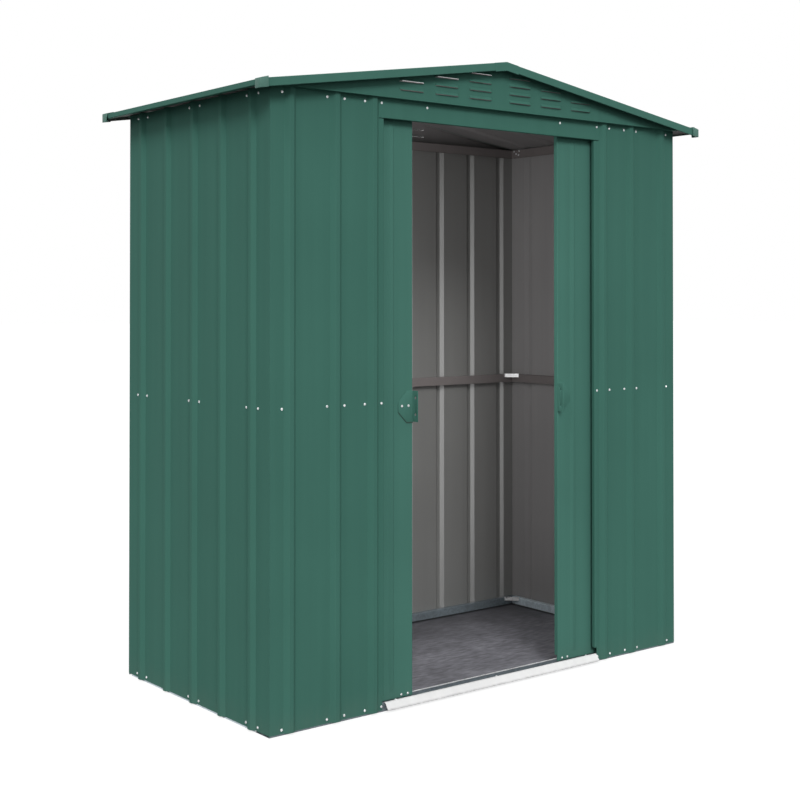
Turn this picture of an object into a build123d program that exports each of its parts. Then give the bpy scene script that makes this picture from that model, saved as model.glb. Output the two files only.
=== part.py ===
from build123d import *
import math
import os

# A small apex storage shed of ribbed steel sheet. Two doors hang from a track and slide
# sideways behind the front wall. Lengths are in millimetres. +X is to the right of someone
# who faces the doors, +Y runs from the front to the back, and +Z is up. The origin is on
# the ground below the middle of the shed.

# Wall sheets
wall_width = 1714.0            # over the flats of the left and right walls
wall_depth = 840.0             # over the flats of the front and back walls
wall_height = 1828.0           # top edge of the wall sheets above the ground
wall_bottom = 5.0              # lower edge of the wall sheets above the ground
sheet = 0.5                    # thickness of every painted sheet

# Ribs pressed outwards in the wall and roof sheets
rib_depth = 11.0
rib_base = 40.0
rib_top = 14.0
front_rib_inset = 67.0         # outermost front and back rib, from the corner
jamb_rib_inset = 41.5          # front rib beside the doorway, from the jamb
front_mid_rib_share = 0.54     # place of the third front rib between those two
side_rib_inset = 91.0          # outermost side rib, from the corner
side_rib_count = 5
back_rib_count = 11

# Doorway
doorway_width = 904.0
jamb_return = 14.0             # fold of the front sheet at the doorway, towards the inside
jamb_notch = 17.0              # lower end of that fold above the ramp
header_height = 60.0
header_fold = 10.0             # fold along the lower edge of the header
header_sheet = 1.0

# Rails
rail_height = 31.0
rail_depth = 22.0
rail_sheet = 1.0
mid_rail_height = 910.0        # middle of the mid rails above the ground
front_mid_rail_depth = 14.0    # mid rails between the front sheets and the doors
bracket_cut = 42.0             # from the corner to where the bracket leaves the rail
bracket_tab = 8.0
bracket_height = 14.0
bracket_rise = 3.0             # bracket's top edge above the rail
bracket_sheet = 1.5
bend_share = math.tan(math.radians(22.5))   # shift of a 45 degree bend per thickness

# Floor and ramp
floor_thickness = 4.0
front_rail_height = 30.0       # leg of the front base rail, behind the ramp
front_rail_depth = 75.0
ramp_lip = 5.0                 # level top of the ramp in front of the wall
ramp_run = 16.5
ramp_toe_height = 6.0          # lower edge of the ramp above the ground
ramp_hem = 6.0                 # edge turned back under the ramp
ramp_sheet = 0.8

# Doors
door_width = 485.0
door_setback = 26.0            # door face behind the front wall's face
door_depth = 16.0
left_opening = 322.0           # left door's leading edge from the shed's middle, as in the photo
right_opening = 301.0          # right door's leading edge from the shed's middle
door_rib_depth = 5.0
door_rib_base = 24.0
door_rib_top = 10.0
left_door_rib_inset = 85.0     # ribs from the upright edges of the left door
right_door_rib_inset = 70.0    # ribs from the upright edges of the right door
door_bottom = 25.0             # lower edge of the door's face above the ground
door_notch = 15.0              # folded edges stop above that, clear of the guide rib
guide_rib_height = 30.0        # rib of the front base rail that the doors run over

# Handles
handle_height = 900.0          # middle of the handle above the ground
handle_length = 95.0
handle_width = 57.0
handle_cut = 33.0              # cut corners of the handle's plate
handle_reach = 27.0            # flange in front of the door
handle_sheet = 1.5
handle_hole_radius = 4.0
handle_hole_spacing = 51.0
handle_hole_inset = 12.0       # hole from the outer edge of the flange

# Track and runners
track_height = 34.0
track_width = 44.0
track_lip = 11.0
track_sheet = 1.0
hang_gap = 15.0                # door top below the track
hanger_length = 40.0
hanger_inset = 55.0            # middle of a runner from the door's upright edge
hanger_neck = 10.0
hanger_head_width = 32.0
hanger_head_height = 9.0
slide_clearance = 0.3          # runner above the track's lips
guide_height = 20.0
guide_slot = 4.0
guide_slot_room = 1.5          # slot above the guide rib

# Roof
side_overhang = 71.0           # outermost face of the roof beyond the side walls
end_overhang = 59.5            # outermost face of the roof beyond the front and back walls
roof_rise = 143.5              # fall of the roof from the ridge to the eaves
eave_clearance = 2.5           # roof above the top edge of the side walls
roof_rib_inset = 160.0
roof_rib_count = 5
ridge_cap_width = 180.0
ridge_beam_width = 30.0
ridge_beam_height = 32.0
trim_sheet = 0.6
fascia_height = 25.0
fascia_fold = 20.0
fascia_cover = 3.0             # top of the fascia above the roof ribs
eave_trim_height = 16.0
eave_trim_lip = 12.0
cap_length = 28.0
cap_wall = 6.5
cap_rise = 4.0                 # corner cap above the fascia, at its inner end
cap_edge = 1.0                 # and at its outer end
cap_drop = 27.0                # lower edge of a corner cap below the fascia's top
apex_cover_width = 98.0
apex_cover_height = 28.0

# Gables and their vents
gable_step = 21.0              # gable's face in front of the wall's face
vent_length = 94.0
vent_first_column = 85.0       # middle of the innermost column from the shed's middle
vent_column_pitch = 139.0
vent_columns = 3               # on each side of the middle
vent_first_row = 26.0          # lower edge of the lowest slot above the wall
vent_row_pitch = 26.0
vent_slot = 8.0                # height of the slot
vent_sill = 3.0                # hood's lip above the slot's lower edge
vent_height = 7.0              # height of the hood
vent_reach = 7.0

# Places and sections that several pieces share
half_width = wall_width / 2
half_depth = wall_depth / 2
inner_x = half_width - sheet
inner_y = half_depth - sheet
half_doorway = doorway_width / 2
roof_half_width = half_width + side_overhang
roof_half_depth = half_depth + end_overhang
slope = roof_rise / roof_half_width
ridge_underside = wall_height + eave_clearance + slope * half_width
ridge_top = ridge_underside + sheet
rib_ridge = ridge_top + rib_depth
fascia_ridge = rib_ridge + fascia_cover
trim_x = roof_half_width - cap_wall
fascia_y = roof_half_depth - cap_wall
door_face = -half_depth + door_setback
door_back = door_face + door_depth
door_middle = (door_face + door_back) / 2
track_bottom = wall_height - track_height
door_top = track_bottom - hang_gap
front_rail_back = -inner_y + front_rail_depth
track_back = door_middle + track_width / 2
wall_rib = (rib_depth, rib_base, rib_top)
door_rib = (door_rib_depth, door_rib_base, door_rib_top)


def prism(points, direction, length):
    """Solid swept from the flat outline through some points."""
    return extrude(make_face(Polyline(*points, close=True)), amount=length, dir=direction)


def along_x(outline, start, end):
    """Outline of (y, z) points run along X."""
    return prism([(start, y, z) for y, z in outline], (1, 0, 0), end - start)


def along_y(outline, start, end):
    """Outline of (x, z) points run along Y."""
    return prism([(x, start, z) for x, z in outline], (0, 1, 0), end - start)


def upright(outline, bottom, top):
    """Outline of (x, y) points run upwards."""
    return prism([(x, y, bottom) for x, y in outline], (0, 0, 1), top - bottom)


def block(low, high):
    """Box between its lowest and highest corner."""
    size = [upper - lower for lower, upper in zip(low, high)]
    return Pos(*low) * Box(*size, align=(Align.MIN, Align.MIN, Align.MIN))


def left_to_right(piece):
    """The same piece on the other side of the shed."""
    return mirror(piece, about=Plane.YZ)


def front_to_back(piece):
    """The same piece at the other end of the shed."""
    return mirror(piece, about=Plane.XZ)


def evenly(first, last, count):
    """Places at equal steps from the first to the last."""
    step = (last - first) / (count - 1)
    return [first + step * index for index in range(count)]


def ribbed_outline(start, end, centres, rib):
    """Section of a ribbed sheet: along the sheet, and out of its flat face."""
    depth, base, top = rib
    face = [(start, 0)]
    for centre in centres:
        face.append((centre - base / 2, 0))
        face.append((centre - top / 2, depth))
        face.append((centre + top / 2, depth))
        face.append((centre + base / 2, 0))
    face.append((end, 0))
    back = [(along, out - sheet) for along, out in reversed(face)]
    return face + back


def channel_outline(outer, inner, bottom, top):
    """Section of a rail: a channel that opens downwards."""
    wall = math.copysign(rail_sheet, outer - inner)
    return [
        (outer, bottom),
        (outer, top),
        (inner, top),
        (inner, bottom),
        (inner + wall, bottom),
        (inner + wall, top - rail_sheet),
        (outer - wall, top - rail_sheet),
        (outer - wall, bottom),
    ]


# Walls
def front_wall_left():
    corner_rib = -half_width + front_rib_inset
    jamb_rib = -half_doorway - jamb_rib_inset
    mid_rib = corner_rib + front_mid_rib_share * (jamb_rib - corner_rib)
    outline = ribbed_outline(-half_width, -half_doorway, [corner_rib, mid_rib, jamb_rib], wall_rib)
    panel = upright([(along, -half_depth - out) for along, out in outline], wall_bottom, wall_height)
    fold = block(
        (-half_doorway - sheet, -half_depth, front_rail_height + jamb_notch),
        (-half_doorway, -half_depth + jamb_return, wall_height - track_height),
    )
    return panel + fold


def left_wall():
    centres = evenly(-half_depth + side_rib_inset, half_depth - side_rib_inset, side_rib_count)
    outline = ribbed_outline(-inner_y, inner_y, centres, wall_rib)
    return upright([(-half_width - out, along) for along, out in outline], wall_bottom, wall_height)


def back_wall():
    centres = evenly(-half_width + front_rib_inset, half_width - front_rib_inset, back_rib_count)
    outline = ribbed_outline(-half_width, half_width, centres, wall_rib)
    return upright([(along, half_depth + out) for along, out in outline], wall_bottom, wall_height)


# Rails, floor and ramp
def back_rail(bottom):
    outline = channel_outline(inner_y, inner_y - rail_depth, bottom, bottom + rail_height)
    return along_x(outline, -inner_x, inner_x)


def left_rail(bottom, front):
    outline = channel_outline(-inner_x, -inner_x + rail_depth, bottom, bottom + rail_height)
    return along_y(outline, front, inner_y - rail_depth)


def front_mid_rail(bottom):
    outline = channel_outline(-inner_y, -inner_y + front_mid_rail_depth, bottom, bottom + rail_height)
    return along_x(outline, -inner_x, -half_doorway - sheet)


def front_base_rail():
    guide_front = door_middle - rail_sheet / 2
    guide_back = door_middle + rail_sheet / 2
    outline = [
        (-inner_y, 0),
        (front_rail_back, 0),
        (front_rail_back, rail_sheet),
        (guide_back, rail_sheet),
        (guide_back, guide_rib_height),
        (guide_front, guide_rib_height),
        (guide_front, rail_sheet),
        (-inner_y + rail_sheet, rail_sheet),
        (-inner_y + rail_sheet, front_rail_height),
        (-inner_y, front_rail_height),
    ]
    return along_x(outline, -inner_x, inner_x)


def corner_bracket(rail_top):
    """Bent strip across the back left corner, on the faces of the two rails."""
    side = -inner_x + rail_depth
    end = inner_y - rail_depth
    bend = bracket_sheet * bend_share
    outline = [
        (side, end - bracket_cut - bracket_tab),
        (side, end - bracket_cut),
        (side + bracket_cut, end),
        (side + bracket_cut + bracket_tab, end),
        (side + bracket_cut + bracket_tab, end - bracket_sheet),
        (side + bracket_cut + bend, end - bracket_sheet),
        (side + bracket_sheet, end - bracket_cut - bend),
        (side + bracket_sheet, end - bracket_cut - bracket_tab),
    ]
    top = rail_top + bracket_rise
    return upright(outline, top - bracket_height, top)


def floor_panel():
    side = inner_x - rail_depth
    return block((-side, front_rail_back, 0), (side, inner_y - rail_depth, floor_thickness))


def threshold_ramp():
    """Bent sheet that lies on the front base rail and slopes down, with its lower edge turned back."""
    lip_front = -half_depth - ramp_lip
    toe = lip_front - ramp_run
    hem_top = ramp_toe_height + ramp_sheet
    fall = front_rail_height - hem_top
    wall = ramp_sheet * math.hypot(ramp_run, fall) / fall
    outline = [
        (-inner_y + rail_sheet, front_rail_height),
        (-inner_y + rail_sheet, front_rail_height + ramp_sheet),
        (lip_front, front_rail_height + ramp_sheet),
        (toe, hem_top),
        (toe, ramp_toe_height),
        (toe + wall + ramp_hem, ramp_toe_height),
        (toe + wall + ramp_hem, hem_top),
        (toe + wall, hem_top),
        (lip_front, front_rail_height),
    ]
    return along_x(outline, -half_doorway, half_doorway)


# Doorway head
def door_header():
    reach = half_doorway + jamb_rib_inset - rib_base / 2
    bottom = wall_height - header_height
    front = -half_depth - header_sheet
    plate = block((-reach, front, bottom), (reach, -half_depth, wall_height))
    fold = block(
        (-half_doorway, front, bottom),
        (half_doorway, -half_depth + header_fold, bottom + header_sheet),
    )
    return plate + fold


def door_track():
    """Front top rail with the slotted channel that the door hangers run in."""
    front = door_middle - track_width / 2
    top = wall_height
    under = top - track_sheet
    lip_top = track_bottom + track_sheet
    outline = [
        (-inner_y, top),
        (track_back, top),
        (track_back, track_bottom),
        (track_back - track_lip, track_bottom),
        (track_back - track_lip, lip_top),
        (track_back - track_sheet, lip_top),
        (track_back - track_sheet, under),
        (front + track_sheet, under),
        (front + track_sheet, lip_top),
        (front + track_lip, lip_top),
        (front + track_lip, track_bottom),
        (front, track_bottom),
        (front, under),
        (-inner_y + track_sheet, under),
        (-inner_y + track_sheet, track_bottom),
        (-inner_y, track_bottom),
    ]
    return along_x(outline, -inner_x, inner_x)


# Doors
def left_door(opening, rib_inset):
    """Ribbed sheet folded back at its upright edges and its top."""
    lead = -opening
    trail = lead - door_width
    outline = ribbed_outline(trail, lead, [trail + rib_inset, lead - rib_inset], door_rib)
    door = upright([(along, door_face - out) for along, out in outline], door_bottom, door_top)
    for edge in (trail, lead - sheet):
        door += block((edge, door_face, door_bottom + door_notch), (edge + sheet, door_back, door_top))
    return door + block((trail, door_face, door_top - sheet), (lead, door_back, door_top))


def left_door_handle(opening):
    """Plate with cut corners on the door, and a flange with two holes to pull at."""
    lead = -opening
    far = lead - handle_width
    low = handle_height - handle_length / 2
    high = handle_height + handle_length / 2
    front = door_face - handle_sheet
    plate_outline = [
        (lead, low),
        (lead, high),
        (far + handle_cut, high),
        (far, high - handle_cut),
        (far, low + handle_cut),
        (far + handle_cut, low),
    ]
    handle = along_y(plate_outline, front, door_face)
    handle += block(
        (lead - handle_sheet, door_face - handle_reach, low),
        (lead, door_face, high),
    )
    hole = Rot(0, 90, 0) * Cylinder(handle_hole_radius, handle_reach)
    for side in (-1, 1):
        hole_z = handle_height + side * handle_hole_spacing / 2
        handle -= Pos(lead, door_face - handle_reach + handle_hole_inset, hole_z) * hole
    return handle


def left_door_runners(opening):
    """Two hangers in the track and two guides over the rib of the front base rail."""
    lead = -opening
    head_bottom = track_bottom + track_sheet + slide_clearance
    slot_top = guide_rib_height + guide_slot_room
    runners = Part()
    for middle in (lead - door_width + hanger_inset, lead - hanger_inset):
        start = middle - hanger_length / 2
        end = middle + hanger_length / 2
        neck = block(
            (start, door_middle - hanger_neck / 2, door_top),
            (end, door_middle + hanger_neck / 2, head_bottom),
        )
        head = block(
            (start, door_middle - hanger_head_width / 2, head_bottom),
            (end, door_middle + hanger_head_width / 2, head_bottom + hanger_head_height),
        )
        guide = block(
            (start, door_face + sheet, door_bottom),
            (end, door_back, door_bottom + guide_height),
        )
        slot = block(
            (start, door_middle - guide_slot / 2, door_bottom),
            (end, door_middle + guide_slot / 2, slot_top),
        )
        runners += neck + head
        runners += guide - slot
    return runners


# Roof
def under_roof(distance):
    """Height of the roof's underside at a distance from the ridge."""
    return ridge_underside - slope * distance


def vent_rows(outer_end):
    """Number of vents that fit one above the other under the roof."""
    room = under_roof(outer_end) - wall_height - vent_first_row - vent_sill - vent_height
    return int(room / vent_row_pitch) + 1


def vent_places():
    """Left end and lower edge of each vent of a gable."""
    places = []
    for column in range(vent_columns):
        centre = vent_first_column + column * vent_column_pitch
        for row in range(vent_rows(centre + vent_length / 2)):
            bottom = wall_height + vent_first_row + row * vent_row_pitch
            places.append((centre - vent_length / 2, bottom))
            places.append((-centre - vent_length / 2, bottom))
    return places


def vent_hood(start, bottom, face):
    """Sloped hood with closed ends over the slot of a vent."""
    lip = bottom + vent_sill
    top = lip + vent_height
    skin = [
        (face, top),
        (face - vent_reach, lip + sheet),
        (face - vent_reach, lip),
        (face, top - sheet),
    ]
    cheek = [(face, top), (face - vent_reach, lip), (face, lip)]
    hood = along_x(skin, start, start + vent_length)
    for end in (start, start + vent_length - sheet):
        hood += along_x(cheek, end, end + sheet)
    return hood


def front_gable():
    """Sheet under the roof, stepped out over the wall, with louvred vents."""
    face = -half_depth - gable_step
    shoulder = under_roof(half_width)
    outline = [
        (-half_width, wall_height),
        (half_width, wall_height),
        (half_width, shoulder),
        (0, ridge_underside),
        (-half_width, shoulder),
    ]
    gable = along_y(outline, face, face + sheet)
    gable += block((-half_width, face, wall_height), (half_width, -inner_y, wall_height + sheet))
    for side in (-1, 1):
        fold = [
            (0, ridge_underside),
            (side * half_width, shoulder),
            (side * half_width, shoulder - sheet),
            (0, ridge_underside - sheet),
        ]
        gable += along_y(fold, face, -inner_y)
    for start, bottom in vent_places():
        gable -= block(
            (start + sheet, face, bottom),
            (start + vent_length - sheet, face + sheet, bottom + vent_slot),
        )
        gable += vent_hood(start, bottom, face)
    return gable


def right_roof():
    """Ribbed sheet that slopes from the ridge to the eave."""
    end = fascia_y - trim_sheet
    run = trim_x - trim_sheet
    centres = evenly(-end + roof_rib_inset, end - roof_rib_inset, roof_rib_count)
    outline = ribbed_outline(-end, end, centres, wall_rib)
    points = [(0, along, ridge_top + out) for along, out in outline]
    return prism(points, (1, 0, -slope), run * math.hypot(1, slope))


def ridge_cap():
    """Bent strip on the ribs along the ridge."""
    edge = ridge_cap_width / 2
    outline = [
        (0, rib_ridge + trim_sheet),
        (edge, rib_ridge + trim_sheet - slope * edge),
        (edge, rib_ridge - slope * edge),
        (0, rib_ridge),
        (-edge, rib_ridge - slope * edge),
        (-edge, rib_ridge + trim_sheet - slope * edge),
    ]
    end = fascia_y - trim_sheet
    return along_y(outline, -end, end)


def ridge_beam():
    """Channel under the ridge from gable to gable."""
    edge = ridge_beam_width / 2
    top = under_roof(edge) - sheet
    end = half_depth + gable_step - sheet
    return along_y(channel_outline(-edge, edge, top - ridge_beam_height, top), -end, end)


def front_right_fascia():
    """Sloped trim over the front end of the roof."""
    eave = fascia_ridge - slope * trim_x
    front_outline = [
        (0, fascia_ridge),
        (trim_x, eave),
        (trim_x, eave - fascia_height),
        (0, fascia_ridge - fascia_height),
    ]
    fold_outline = [
        (0, fascia_ridge),
        (trim_x, eave),
        (trim_x, eave - trim_sheet),
        (0, fascia_ridge - trim_sheet),
    ]
    fascia = along_y(front_outline, -fascia_y, -fascia_y + trim_sheet)
    return fascia + along_y(fold_outline, -fascia_y, -fascia_y + fascia_fold)


def right_eave_trim():
    """Upright trim over the lower end of the roof, with a lip under it."""
    top = fascia_ridge - slope * trim_x - trim_sheet
    bottom = top - eave_trim_height
    outline = [
        (trim_x, top),
        (trim_x, bottom),
        (trim_x - eave_trim_lip, bottom),
        (trim_x - eave_trim_lip, bottom + trim_sheet),
        (trim_x - trim_sheet, bottom + trim_sheet),
        (trim_x - trim_sheet, top),
    ]
    end = fascia_y - trim_sheet
    return along_y(outline, -end, end)


def front_right_cap():
    """Cap over the corner where the fascia meets the eave trim."""
    start_x = roof_half_width - cap_length
    end_y = -roof_half_depth + cap_length
    inner = fascia_ridge - slope * start_x
    outer = fascia_ridge - slope * roof_half_width
    upper_edge = [(start_x, inner + cap_rise), (roof_half_width, outer + cap_edge)]
    lid = upper_edge + [(roof_half_width, outer), (start_x, inner)]
    front = upper_edge + [(roof_half_width, outer - cap_drop), (start_x, inner - cap_drop)]
    cap = along_y(front, -roof_half_depth, -fascia_y) + along_y(lid, -roof_half_depth, end_y)
    seam = fascia_ridge - slope * trim_x
    side = [
        (trim_x, seam),
        (roof_half_width, outer),
        (roof_half_width, outer - cap_drop),
        (trim_x, seam - cap_drop),
    ]
    return cap + along_y(side, -roof_half_depth, end_y)


def front_apex_cover():
    """Bent strip over the joint of the two fascias."""
    edge = apex_cover_width / 2
    crown = fascia_ridge + trim_sheet
    low = crown - slope * edge
    front_outline = [
        (0, crown),
        (edge, low),
        (edge, low - apex_cover_height),
        (0, crown - apex_cover_height),
        (-edge, low - apex_cover_height),
        (-edge, low),
    ]
    top_outline = [
        (0, crown),
        (edge, low),
        (edge, low - trim_sheet),
        (0, fascia_ridge),
        (-edge, low - trim_sheet),
        (-edge, low),
    ]
    cover = along_y(front_outline, -fascia_y - trim_sheet, -fascia_y)
    return cover + along_y(top_outline, -fascia_y - trim_sheet, -fascia_y + fascia_fold)


# All pieces by name
mid_bottom = mid_rail_height - rail_height / 2
top_bottom = wall_height - rail_height
mid_front_left = front_mid_rail(mid_bottom)
mid_bracket = corner_bracket(mid_bottom + rail_height)
base_bracket = corner_bracket(rail_height)
front_caps = front_right_cap() + left_to_right(front_right_cap())

pieces = {
    "front_base_rail": front_base_rail(),
    "back_base_rail": back_rail(0),
    "left_base_rail": left_rail(0, front_rail_back),
    "right_base_rail": left_to_right(left_rail(0, front_rail_back)),
    "base_corner_brackets": base_bracket + left_to_right(base_bracket),
    "floor_panel": floor_panel(),
    "threshold_ramp": threshold_ramp(),
    "front_wall_left": front_wall_left(),
    "front_wall_right": left_to_right(front_wall_left()),
    "left_wall": left_wall(),
    "right_wall": left_to_right(left_wall()),
    "back_wall": back_wall(),
    "front_mid_rails": mid_front_left + left_to_right(mid_front_left),
    "left_mid_rail": left_rail(mid_bottom, track_back),
    "right_mid_rail": left_to_right(left_rail(mid_bottom, track_back)),
    "back_mid_rail": back_rail(mid_bottom),
    "mid_corner_brackets": mid_bracket + left_to_right(mid_bracket),
    "left_top_rail": left_rail(top_bottom, track_back),
    "right_top_rail": left_to_right(left_rail(top_bottom, track_back)),
    "back_top_rail": back_rail(top_bottom),
    "door_header": door_header(),
    "door_track": door_track(),
    "left_door": left_door(left_opening, left_door_rib_inset),
    "right_door": left_to_right(left_door(right_opening, right_door_rib_inset)),
    "left_door_handle": left_door_handle(left_opening),
    "right_door_handle": left_to_right(left_door_handle(right_opening)),
    "left_door_runners": left_door_runners(left_opening),
    "right_door_runners": left_to_right(left_door_runners(right_opening)),
    "front_gable": front_gable(),
    "back_gable": front_to_back(front_gable()),
    "ridge_beam": ridge_beam(),
    "left_roof": left_to_right(right_roof()),
    "right_roof": right_roof(),
    "ridge_cap": ridge_cap(),
    "left_eave_trim": left_to_right(right_eave_trim()),
    "right_eave_trim": right_eave_trim(),
    "front_left_fascia": left_to_right(front_right_fascia()),
    "front_right_fascia": front_right_fascia(),
    "back_left_fascia": front_to_back(left_to_right(front_right_fascia())),
    "back_right_fascia": front_to_back(front_right_fascia()),
    "roof_corner_caps": front_caps + front_to_back(front_caps),
    "apex_covers": front_apex_cover() + front_to_back(front_apex_cover()),
}

os.makedirs("parts", exist_ok=True)
for name, piece in pieces.items():
    piece.label = name
    export_step(piece, "parts/" + name + ".step")
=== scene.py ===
import bmesh
import bpy
import math
from mathutils import Matrix, Vector
from mathutils.geometry import tessellate_polygon


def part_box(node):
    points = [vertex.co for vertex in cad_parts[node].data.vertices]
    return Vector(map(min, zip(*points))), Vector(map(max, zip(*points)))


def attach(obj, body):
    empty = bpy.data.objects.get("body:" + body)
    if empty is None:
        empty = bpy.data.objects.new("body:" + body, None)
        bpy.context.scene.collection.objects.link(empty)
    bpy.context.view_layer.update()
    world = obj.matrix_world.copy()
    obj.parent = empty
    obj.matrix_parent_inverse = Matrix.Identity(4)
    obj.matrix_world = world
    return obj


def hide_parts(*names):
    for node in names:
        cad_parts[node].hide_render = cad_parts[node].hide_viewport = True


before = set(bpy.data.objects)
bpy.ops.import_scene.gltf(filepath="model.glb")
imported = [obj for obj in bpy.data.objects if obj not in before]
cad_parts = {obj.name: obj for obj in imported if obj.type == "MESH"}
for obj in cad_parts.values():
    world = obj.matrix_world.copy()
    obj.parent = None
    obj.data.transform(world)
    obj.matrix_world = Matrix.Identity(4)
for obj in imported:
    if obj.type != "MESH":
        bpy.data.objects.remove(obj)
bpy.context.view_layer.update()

# A small apex storage shed of ribbed steel sheet, in the frame of its part: +X to the right of
# someone who faces the doors, +Y to the back, +Z up. Lengths are in metres.

# Sheet metal
sheet = 0.0005                 # painted wall, door, roof and gable sheets
trim_sheet = 0.0006
header_sheet = 0.001
rail_sheet = 0.001
ramp_sheet = 0.0008
bracket_sheet = 0.0015
rib_bend = 0.0035              # outer radius of the bends at a wall rib
door_rib_bend = 0.003
fold_bend = 0.0016             # outer radius of a folded edge
ridge_bend = 0.012
bend_support = 0.0012          # flat beside a bend, which keeps the shading of the sheet even
bend_room_share = 0.35         # most of a run that a bend may take
bend_steps = 3
easing = 0.0012                # eased edges of the caps
fine_easing = 0.0005           # eased edges of handles and runners
easing_round_share = 0.5       # roundness of an eased edge
easing_steps = 2
merge_distance = 0.00001       # points closer than this are one
flat_angle = math.radians(1)   # faces that turn less than this are one
sharp_angle = math.radians(35)

# Ribs
wall_rib_depth = 0.011
wall_rib = (wall_rib_depth, 0.040, 0.014)     # depth, base and top
door_rib_depth = 0.005
door_rib = (door_rib_depth, 0.024, 0.010)
front_rib_inset = 0.067
jamb_rib_inset = 0.0415
front_mid_rib_share = 0.54
side_rib_inset = 0.091
side_rib_count = 5
back_rib_count = 11
roof_rib_inset = 0.160
roof_rib_count = 5
left_door_rib_inset = 0.085
right_door_rib_inset = 0.070
door_rib_start = 0.022         # plain sheet below and above a door rib
door_rib_run = 0.020           # length over which a door rib rises
door_notch = 0.015             # folded edges step back above the lower edge of the door
door_foot_drop = 0.003         # lower edge of the door's face below its solid
door_foot_fold = 0.0055        # folded edges at the foot of the door
flat_rib_share = 0.02          # depth left of a door rib at its ends

# Folds
jamb_return = 0.014            # fold of the front sheets at the doorway
jamb_notch = 0.017             # lower end of that fold above the sill
jamb_cut = 0.007               # lower corner of the front sheets at the ramp
header_fold = 0.010
painted_shadow_reach = 0.002             # painted shadow: dark strip showing beside and below the ends of the header
fascia_fold = 0.020
fascia_height = 0.025
fascia_hem = 0.004
ramp_lip = 0.005
ramp_dip = 0.003               # upper edge of the ramp below the guide rib
ramp_hem = 0.007
track_lip = 0.011
bead_width = 0.003             # rounded upper edge of the guide rib
bead_height = 0.003
track_width = 0.044
rail_depth = 0.022
bracket_cut = 0.039            # from a corner to where its bracket leaves the rail
bracket_tab = 0.004
apex_cover_height = 0.028

# Vents
gable_step = 0.021             # face of a gable in front of the wall below it
vent_length = 0.094
vent_columns = (0.085, 0.224, 0.363)      # middles of the columns from the middle of the gable
vent_row_counts = (4, 3, 2)
vent_first_row = 0.026         # lower edge of the lowest slot above the wall
vent_row_pitch = 0.026
vent_slot = 0.008
vent_slot_round = 0.002
round_steps = 3
vent_sill = 0.0012             # lip of a hood above the lower edge of its slot
vent_height = 0.0088
vent_reach = 0.0068
louvre_shares = (-1.0, -0.97, -0.9, -0.75, 0.75, 0.9, 0.97, 1.0)
louvre_rows = 3
louvre_power = 6               # how squarely the ends of a hood drop
glint_length = 0.084             # painted highlight: pale strip on the lip of a hood
glint_height = 0.0017

# Screws
screw_flange_radius = 0.0040
screw_flange_height = 0.0008
screw_head_radius = 0.0033
screw_head_height = 0.0024
screw_crown_radius = 0.0025
recess_reach = 0.0016
recess_width = 0.0007
recess_depth = 0.0009
screw_sides = 12
spin_seed = 7
screw_row_heights = (0.0165, 0.9165, 1.8125)
screw_from_rib = 0.031         # from the middle of the nearest rib
corner_screw_inset = 0.040
header_screw_inset = 0.286     # from the middle of the doorway
ramp_screw_inset = 0.408
door_screw_insets = (0.019, 0.044)
door_screw_height = 0.0045
handle_screw_insets = (0.017, 0.043)
handle_screw_rise = 0.002
ridge_screw_inset = 0.075
eave_screw_inset = 0.060
top_rail_screws = (            # distance from the back rail, and height
    (0.014, 1.823),
    (0.043, 1.823),
    (0.040, 1.807),
    (0.026, 1.812),
)

# Handles
handle_sheet = 0.0015
handle_cut = 0.033
# Painted shadow under the left handle: a thin dark plate behind it
painted_shadow_thickness = 0.001
painted_shadow_drop = 0.004               # painted shadow below the plate of its handle

# Dust, and painted shade
dust_height = 0.090            # dust on the walls up to here
dust_share = 0.12
hem_shade_height = 0.014        # painted shade along the lower edge of the ramp
hem_shade_share = 1.0
floor_edge_shade = (0.014, 0.030)   # painted shade along the edges of the floor, from darkest to unshaded
floor_edge_shade_share = 0.08        # colour left there
floor_back_shade = 0.45              # reach of the painted shade that darkens the floor towards the back
floor_back_shade_share = 0.4         # colour left at its end

# Texture: waves per metre along x, y and z with the number of finer layers, darkest and lightest
# tones, and bumps as strength and height
noise_shares = (0.3, 0.7)      # noise values that count as low and high
cloud_waves = ((2.4, 2.4, 2.4), 4.0)
cloud_shares = (0.96, 1.04)
cloud_rough_shares = (-0.05, 0.06)            # about the roughness of the finish
streak_waves = ((30.0, 30.0, 0.9), 4.0)
streak_shares = (0.97, 1.03)
dirt_and_shade_waves = ((45.0, 45.0, 12.0), 5.0)
dirt_and_shade_shares = (0.2, 1.0)
peel_waves = ((800.0, 800.0, 800.0), 2.0)
peel_bump = (0.05, 0.0003)
sheet_waves = ((7.0, 7.0, 2.2), 1.0)
sheet_bump = (0.10, 0.003)
crystal_waves = 130.0
crystal_shares = (0.95, 1.05)
scuff_waves = ((9.0, 60.0, 60.0), 5.0)
scuff_shares = (0.92, 1.08)
scuff_rough_shares = (-0.08, 0.08)
scuff_bump = (0.08, 0.0006)
board_waves = ((22.0, 75.0, 22.0), 7.0)
board_shares = (0.65, 1.35)
board_rough_shares = (0.55, 0.75)
board_bump = (0.3, 0.0008)
patch_waves = ((5.0, 7.0, 5.0), 4.0)
patch_shares = (0.8, 1.2)
grain_waves = ((900.0, 900.0, 900.0), 3.0)
grain_shares = (0.9, 1.1)
grain_rough_shares = (0.45, 0.6)
grain_bump = (0.15, 0.0002)

# Camera, fitted to the photograph
camera_place = Vector((-2.9556, -3.6476, 1.2241))
camera_yaw = math.radians(38.462)
camera_pitch = math.radians(0.716)
camera_lens = 61.57            # millimetres, as the sensor
camera_sensor = 36.0
camera_shift_share = -0.1464

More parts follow.
